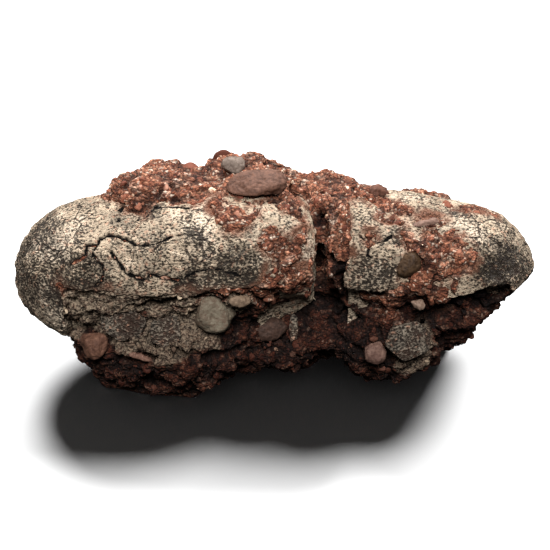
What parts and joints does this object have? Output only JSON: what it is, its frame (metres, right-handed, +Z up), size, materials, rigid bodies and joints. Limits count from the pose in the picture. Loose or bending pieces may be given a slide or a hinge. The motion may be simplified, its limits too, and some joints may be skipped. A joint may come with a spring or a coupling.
{
  "type": "fossil dinosaur egg pair in matrix",
  "caption": "Long fossil eggs lying end to end in a rough lump of red pebbly conglomerate, shell cracked and broken, resting on a flat base.",
  "frame": {"origin": "under the middle of the specimen, on the plane it rests on", "axes": "+X along both eggs towards the shorter one, +Z up, -Y towards the side where the eggs are open and cracked"},
  "size_m": [0.2834, 0.1238, 0.1108],
  "materials": {
    "conglomerate": "rough, broken, pebbly red sandstone",
    "eggshell": "matt fossil shell with fine raised ornament",
    "dark_eggshell": "matt dark fossil shell",
    "brown_stone": "smooth worn stone",
    "grey_stone": "smooth worn stone",
    "dark_stone": "smooth worn stone"
  },
  "bodies": {
    "root": {"matrix": "conglomerate", "long_egg": "eggshell", "short_egg": "eggshell", "shell_plate_left": "dark_eggshell", "shell_plate_middle": "dark_eggshell", "shell_plate_edge": "eggshell", "shell_plate_right": "dark_eggshell", "top_cobble": "brown_stone", "grey_pebble": "grey_stone", "slate_sliver": "brown_stone", "olive_pebble": "dark_stone", "green_cobble": "grey_stone", "oval_pebble": "brown_stone", "pink_cobble": "brown_stone", "dark_pebble": "dark_stone", "rod_chip": "brown_stone", "low_pebble": "brown_stone", "pale_pebble": "grey_stone", "brown_pebble": "brown_stone"}
  },
  "joints": []
}
